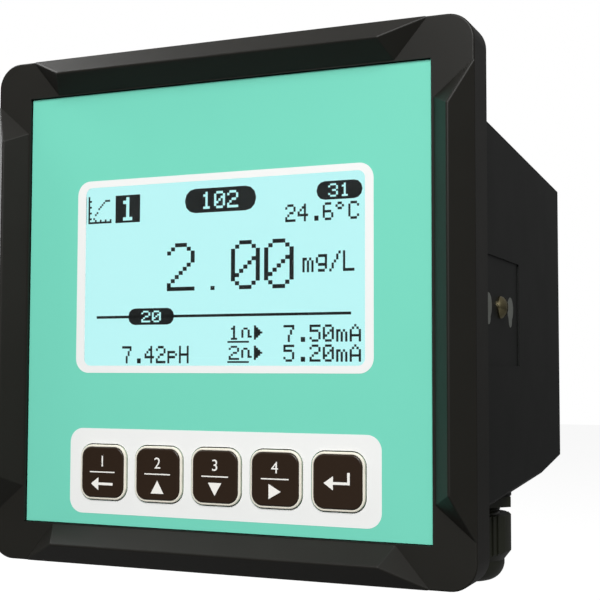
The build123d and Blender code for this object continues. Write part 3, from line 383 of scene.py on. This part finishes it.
def metal(name, colour, roughness, line_mm, depth_mm, direction):
    """Bright metal with tool marks: a noise drawn out 20 times along one axis gives fine parallel lines."""
    material = bpy.data.materials.new(name)
    material.use_nodes = True
    tree = material.node_tree
    shader = tree.nodes["Principled BSDF"]
    shader.inputs["Metallic"].default_value = 1.0
    place = node(tree, "ShaderNodeTexCoord", {}).outputs["Object"]
    stretch = [1.0 / 20 if axis == direction else 1.0 for axis in "XYZ"]
    drawn = node(tree, "ShaderNodeMapping", {"Vector": place, "Scale": stretch})
    lines = node(tree, "ShaderNodeTexNoise", {"Vector": drawn.outputs[0], "Scale": 1000 / line_mm,
                                              "Detail": 4.0})
    base = linear(colour)[:3]
    shade = node(tree, "ShaderNodeMix", {0: lines.outputs[0], 6: [c * 0.9 for c in base] + [1.0],
                                         7: [min(c * 1.08, 1.0) for c in base] + [1.0]}, data_type="RGBA")
    gloss = node(tree, "ShaderNodeMapRange", {"Value": lines.outputs[0], "To Min": roughness - 0.05,
                                              "To Max": roughness + 0.08})
    relief = node(tree, "ShaderNodeBump", {"Height": lines.outputs[0], "Strength": 1.0,
                                           "Distance": depth_mm / 1000})
    tree.links.new(shade.outputs[2], shader.inputs["Base Color"])
    tree.links.new(gloss.outputs[0], shader.inputs["Roughness"])
    tree.links.new(relief.outputs[0], shader.inputs["Normal"])
    return material


green_resist = resist("green_solder_resist", "1c5a34", weave_mm=0.45)
tinned = metal("tinned_steel_sheet", "b9bbbd", 0.28, line_mm=0.2, depth_mm=0.003, direction="Z")
nylon = moulded("natural_nylon", "e0ddd2", 0.5, grain_mm=0.4, depth_mm=0.005)
finish(green_resist, "lcd_board", "front_board", "main_board", "sensor_board")
finish(tinned, "lcd_frame", "shield_can")
finish(nylon, "lcd_spacers")


# Keys. Each is a dark brown cap set in a cream shell that stands round it as a thin bright rim, both
# glossy mouldings. White signs are printed on the caps: numbers above a line and arrows below.

cap_brown = moulded("gloss_brown_key_cap", "2a1c10", 0.3, grain_mm=1.2, depth_mm=0.002, uneven=0.03, ior=1.53,
                    specular=0.35)
shell_cream = moulded("cream_key_shell", "efeadb", 0.3, grain_mm=0.8, depth_mm=0.003, uneven=0.02, ior=1.53)
switch_nylon = moulded("black_switch_nylon", "161616", 0.5, grain_mm=0.4, depth_mm=0.006)
sign_white = moulded("white_key_print", "f6f4ee", 0.4, grain_mm=0.5, depth_mm=0.002, uneven=0.01)
for name in keys:
    finish(cap_brown, name + "_key_cap")
    finish(shell_cream, name + "_key_carrier")
    finish(switch_nylon, name + "_switch_plunger")
finish(switch_nylon, "switch_bodies", "fuse_holder", "board_connector")

sign_thickness = 0.00003
sign_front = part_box("menu_key_cap")[0].y - sign_thickness
number_size = 0.0043
number_rise_mm = 2.9


def key_middle(name):
    """Middle of a key's cap as seen from the front, (x, z)."""
    low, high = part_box(name + "_key_cap")
    return (low.x + high.x) / 2, (low.z + high.z) / 2


def key_sign(name, part, outline):
    """Printed sign on a key, drawn in millimetres from the cap's middle."""
    x, z = key_middle(name)
    place = np.array([x, z]) + np.array(outline) / 1000
    sign = flat_shape(f"{name}_{part}", [place], sign_front, sign_thickness)
    dress(sign, sign_white, name + "_key")


def key_number(name, text, rise_mm):
    """Number printed on a key, 3.1 mm high, centred at the given height above the cap's middle."""
    x, z = key_middle(name)
    curve = bpy.data.curves.new(name + "_number", "FONT")
    curve.body = text
    curve.size = number_size
    curve.align_x = "CENTER"
    curve.align_y = "CENTER"
    curve.extrude = sign_thickness / 2
    number = stood_up(name + "_number", curve, sign_front, sign_thickness)
    number.data.transform(Matrix.Translation((x, 0, z + rise_mm / 1000)))
    dress(number, sign_white, name + "_key")


def bar(left, low, width, height):
    """Corners of an upright rectangle, anticlockwise."""
    return [(left, low), (left + width, low), (left + width, low + height), (left, low + height)]


for name, number in zip(keys[:4], "1234"):
    key_number(name, number, number_rise_mm)
    key_sign(name, "line", bar(-4.0, -0.1, 8.0, 0.32))
key_sign("up", "arrow", [(-2.0, -5.2), (2.0, -5.2), (0.0, -1.65)])
key_sign("down", "arrow", [(-2.0, -1.6), (0.0, -5.05), (2.0, -1.6)])
key_sign("next", "arrow", [(-1.75, -5.2), (1.75, -3.2), (-1.75, -1.25)])
key_sign("menu", "back_arrow", [(-3.6, -3.2), (-1.2, -5.0), (-1.2, -3.55), (3.4, -3.55), (3.4, -2.85),
                                (-1.2, -2.85), (-1.2, -1.4)])
key_sign("enter", "return_arrow", [(-3.8, -0.4), (-1.2, -2.2), (-1.2, -0.75), (3.4, -0.75), (3.4, 2.4),
                                   (2.7, 2.4), (2.7, -0.05), (-1.2, -0.05), (-1.2, 1.4)])


# Housing and rear cover. The tapered box behind the panel is moulded in black ABS with the same
# satin grain as the frame, a shade cooler. The cover over the terminals is held by four screws.

housing_abs = moulded("cool_black_abs", "131513", 0.5, grain_mm=0.4, depth_mm=0.012, ior=1.53, specular=0.25)
finish(housing_abs, "housing", "rear_cover")


# Panel clamps. The keyhole sockets in each side are die-cast zinc, grey and slightly rough; the
# domed screws between them are dark nickel plate over turned steel; their inserts are brass.

zinc = metal("die_cast_zinc", "b4b8b1", 0.45, line_mm=0.35, depth_mm=0.006, direction="Y")
nickel = metal("dark_nickel_plate", "8b8264", 0.24, line_mm=0.12, depth_mm=0.003, direction="Z")
brass = metal("turned_brass", "c9a55a", 0.3, line_mm=0.15, depth_mm=0.004, direction="X")
finish(zinc, "clamp_sockets")
finish(nickel, "clamp_screws")
finish(brass, "clamp_inserts", "board_standoffs")


# Screws. Zinc-plated steel, turned, with straight slots: those of the rear cover show.

zinc_plate = metal("zinc_plated_steel", "a9abb0", 0.3, line_mm=0.12, depth_mm=0.003, direction="X")
finish(zinc_plate, "front_board_screws", "housing_screws", "rear_cover_screws", "main_board_screws",
       "sensor_board_screws", "terminal_screws")


# Power and relay parts on the main board: green terminal blocks, a laminated core with a taped
# winding, blue relay cases, sleeved capacitors and a glass fuse with nickel caps.

terminal_green = moulded("green_terminal_polyamide", "3f6b4c", 0.5, grain_mm=0.4, depth_mm=0.006)
winding_tape = moulded("yellow_winding_tape", "d1a838", 0.35, grain_mm=0.9, depth_mm=0.01)
relay_blue = moulded("blue_relay_case", "1b3a74", 0.3, grain_mm=0.5, depth_mm=0.003)
sleeve = moulded("black_shrink_sleeve", "15151a", 0.28, grain_mm=0.8, depth_mm=0.006)
laminations = metal("varnished_laminations", "55555a", 0.5, line_mm=0.5, depth_mm=0.03, direction="X")
fuse_glass = moulded("fuse_glass", "e6ecec", 0.05, grain_mm=2.0, depth_mm=0.001, ior=1.5)
fuse_glass.node_tree.nodes["Principled BSDF"].inputs["Transmission Weight"].default_value = 1.0
finish(terminal_green, "upper_terminal_block", "lower_terminal_block")
finish(winding_tape, "transformer_winding")
finish(relay_blue, "relays")
finish(sleeve, "filter_capacitors")
finish(laminations, "transformer_core")
finish(fuse_glass, "fuse")


# Cable glands. Black polyamide bodies and domed nuts with ribbed flats, a little oily in their
# sheen. The thread between the hexagon and the nut shows in the open neck.

gland_nylon = moulded("black_gland_polyamide", "24261c", 0.36, grain_mm=0.3, depth_mm=0.008, ior=1.53)
finish(gland_nylon, "gland_bodies", "gland_locknuts", *[f"gland_nut_{i}" for i in range(1, 5)])

thread_root = 0.00932
thread_depth = 0.00035
thread_pitch = 0.0015
thread_rim_depth = 0.0002
thread_gap = 0.00002
neck_height = 0.0024
turn_steps = 72
height_steps = 25


def neck_thread(name, x, y, low, high):
    """Open helical thread: radius = root + depth * (1 - |2 f - 1|), where f is the fraction of
    z / pitch - angle / (2 pi), on a grid of angle by height, with rims drawn in to the root."""
    angle = np.linspace(0, 2 * np.pi, turn_steps + 1)[:-1]
    height = np.linspace(low, high, height_steps)
    turn, level = np.meshgrid(angle, height)
    part = np.mod(level / thread_pitch - turn / (2 * np.pi), 1.0)
    radius = thread_root + thread_depth * (1 - np.abs(2 * part - 1))
    inner = np.full((1, angle.size), thread_root - thread_rim_depth)
    radius = np.concatenate([inner, radius, inner])
    level = np.concatenate([level[:1], level, level[-1:]])
    turn = np.concatenate([turn[:1], turn, turn[-1:]])
    points = np.stack([x + radius * np.cos(turn), y + radius * np.sin(turn), level], axis=-1)
    count, around = radius.shape
    cell = np.arange(count * around).reshape(count, around)
    ahead = np.roll(cell, -1, axis=1)
    faces = np.stack([cell, ahead, np.roll(ahead, -1, axis=0), np.roll(cell, -1, axis=0)], axis=-1)
    mesh = bpy.data.meshes.new(name)
    mesh.from_pydata(points.reshape(-1, 3), [], faces.reshape(-1, 4).tolist())
    dress(shown(name, mesh), gland_nylon, "instrument")


for i in range(1, 5):
    nut_low, nut_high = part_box(f"gland_nut_{i}")
    neck_thread(f"gland_thread_{i}", (nut_low.x + nut_high.x) / 2, (nut_low.y + nut_high.y) / 2,
                nut_high.z + thread_gap, nut_high.z + neck_height - thread_gap)


# Floor, light and camera. A white floor below the instrument and three soft lamps as in a product
# studio: one above on the left, the strongest above in front, and a weak one at the left rear.

floor_drop = 0.16
floor_half = 3.0


def background_share(tree):
    """1 for rays that come straight from the camera, also through a clear pane, and 0 for all others."""
    rays = node(tree, "ShaderNodeLightPath", {})
    seen = node(tree, "ShaderNodeMath", {0: rays.outputs["Is Camera Ray"],
                                         1: rays.outputs["Is Transmission Ray"]}, operation="MAXIMUM")
    bounces = node(tree, "ShaderNodeMath", {0: rays.outputs["Diffuse Depth"],
                                            1: rays.outputs["Glossy Depth"]}, operation="ADD")
    straight = node(tree, "ShaderNodeMath", {0: bounces.outputs[0], 1: 0.5}, operation="LESS_THAN")
    return node(tree, "ShaderNodeMath", {0: seen.outputs[0], 1: straight.outputs[0]},
                operation="MULTIPLY").outputs[0]


def studio_white(name, shadow_share):
    """White that the camera sees as the paper background, with part of the shadow kept."""
    material = bpy.data.materials.new(name)
    material.use_nodes = True
    tree = material.node_tree
    tree.nodes.remove(tree.nodes["Principled BSDF"])
    glow = node(tree, "ShaderNodeMath", {0: background_share(tree), 1: 1 - shadow_share},
                operation="MULTIPLY")
    light = node(tree, "ShaderNodeEmission", {"Color": (1, 1, 1, 1), "Strength": glow.outputs[0]})
    paper = node(tree, "ShaderNodeBsdfDiffuse", {"Color": linear("7a7a7a")})
    both = node(tree, "ShaderNodeAddShader", {0: light.outputs[0], 1: paper.outputs[0]})
    tree.links.new(both.outputs[0], tree.nodes["Material Output"].inputs["Surface"])
    return material


floor_mesh = bpy.data.meshes.new("floor")
floor_corners = [(floor_half * x, floor_half * y, -floor_drop)
                 for x, y in ((-1, -1), (1, -1), (1, 1), (-1, 1))]
floor_mesh.from_pydata(floor_corners, [], [(0, 1, 2, 3)])
floor = shown("floor", floor_mesh)
floor_mesh.materials.append(studio_white("white_paper_floor", 0.12))

# The room grows lighter with height, so the undersides of the instrument stay dark.
world = bpy.data.worlds.new("studio")
bpy.context.scene.world = world
world.use_nodes = True
sky = world.node_tree
place = node(sky, "ShaderNodeTexCoord", {}).outputs["Generated"]
height = node(sky, "ShaderNodeSeparateXYZ", {0: place}).outputs["Z"]
above = node(sky, "ShaderNodeMapRange", {"Value": height, "From Min": -0.6, "From Max": 0.9, "To Min": 0.02,
                                         "To Max": 0.3}).outputs[0]
level = node(sky, "ShaderNodeMix", {0: background_share(sky), 2: above, 3: 1.0}, data_type="FLOAT").outputs[0]
sky.links.new(level, sky.nodes["Background"].inputs["Strength"])
sky.nodes["Background"].inputs["Color"].default_value = (1, 1, 1, 1)


def soft_lamp(name, place, size, watts):
    """Square soft lamp that faces the instrument's middle."""
    light = bpy.data.lights.new(name, "AREA")
    light.size = size
    light.energy = watts
    lamp = shown(name, light)
    lamp.location = place
    towards_middle = -lamp.location
    lamp.rotation_euler = towards_middle.to_track_quat("-Z", "Y").to_euler()


soft_lamp("key_lamp", (-0.85, 0.0, 0.75), 0.6, 6.0)
soft_lamp("front_lamp", (0.3, -0.95, 0.7), 0.7, 16.0)
soft_lamp("side_lamp", (-0.95, 0.75, 0.22), 0.45, 2.0)

heading, pitch, roll = np.radians((23.13, 3.44, -0.147))
photo_width_px = 600
focal_px = 1193.2
camera_data = bpy.data.cameras.new("camera")
camera_data.sensor_width = 36.0
camera_data.lens = focal_px * camera_data.sensor_width / photo_width_px
camera = shown("camera", camera_data)
camera_place = (0.14729, -0.29838, -0.01821)
camera.matrix_world = (Matrix.Translation(camera_place) @ Matrix.Rotation(heading, 4, "Z")
                       @ Matrix.Rotation(pitch, 4, "X") @ Matrix.Rotation(roll, 4, "Y")
                       @ Matrix.Rotation(math.pi / 2, 4, "X"))
bpy.context.scene.camera = camera
bpy.context.scene.view_settings.view_transform = "Standard"
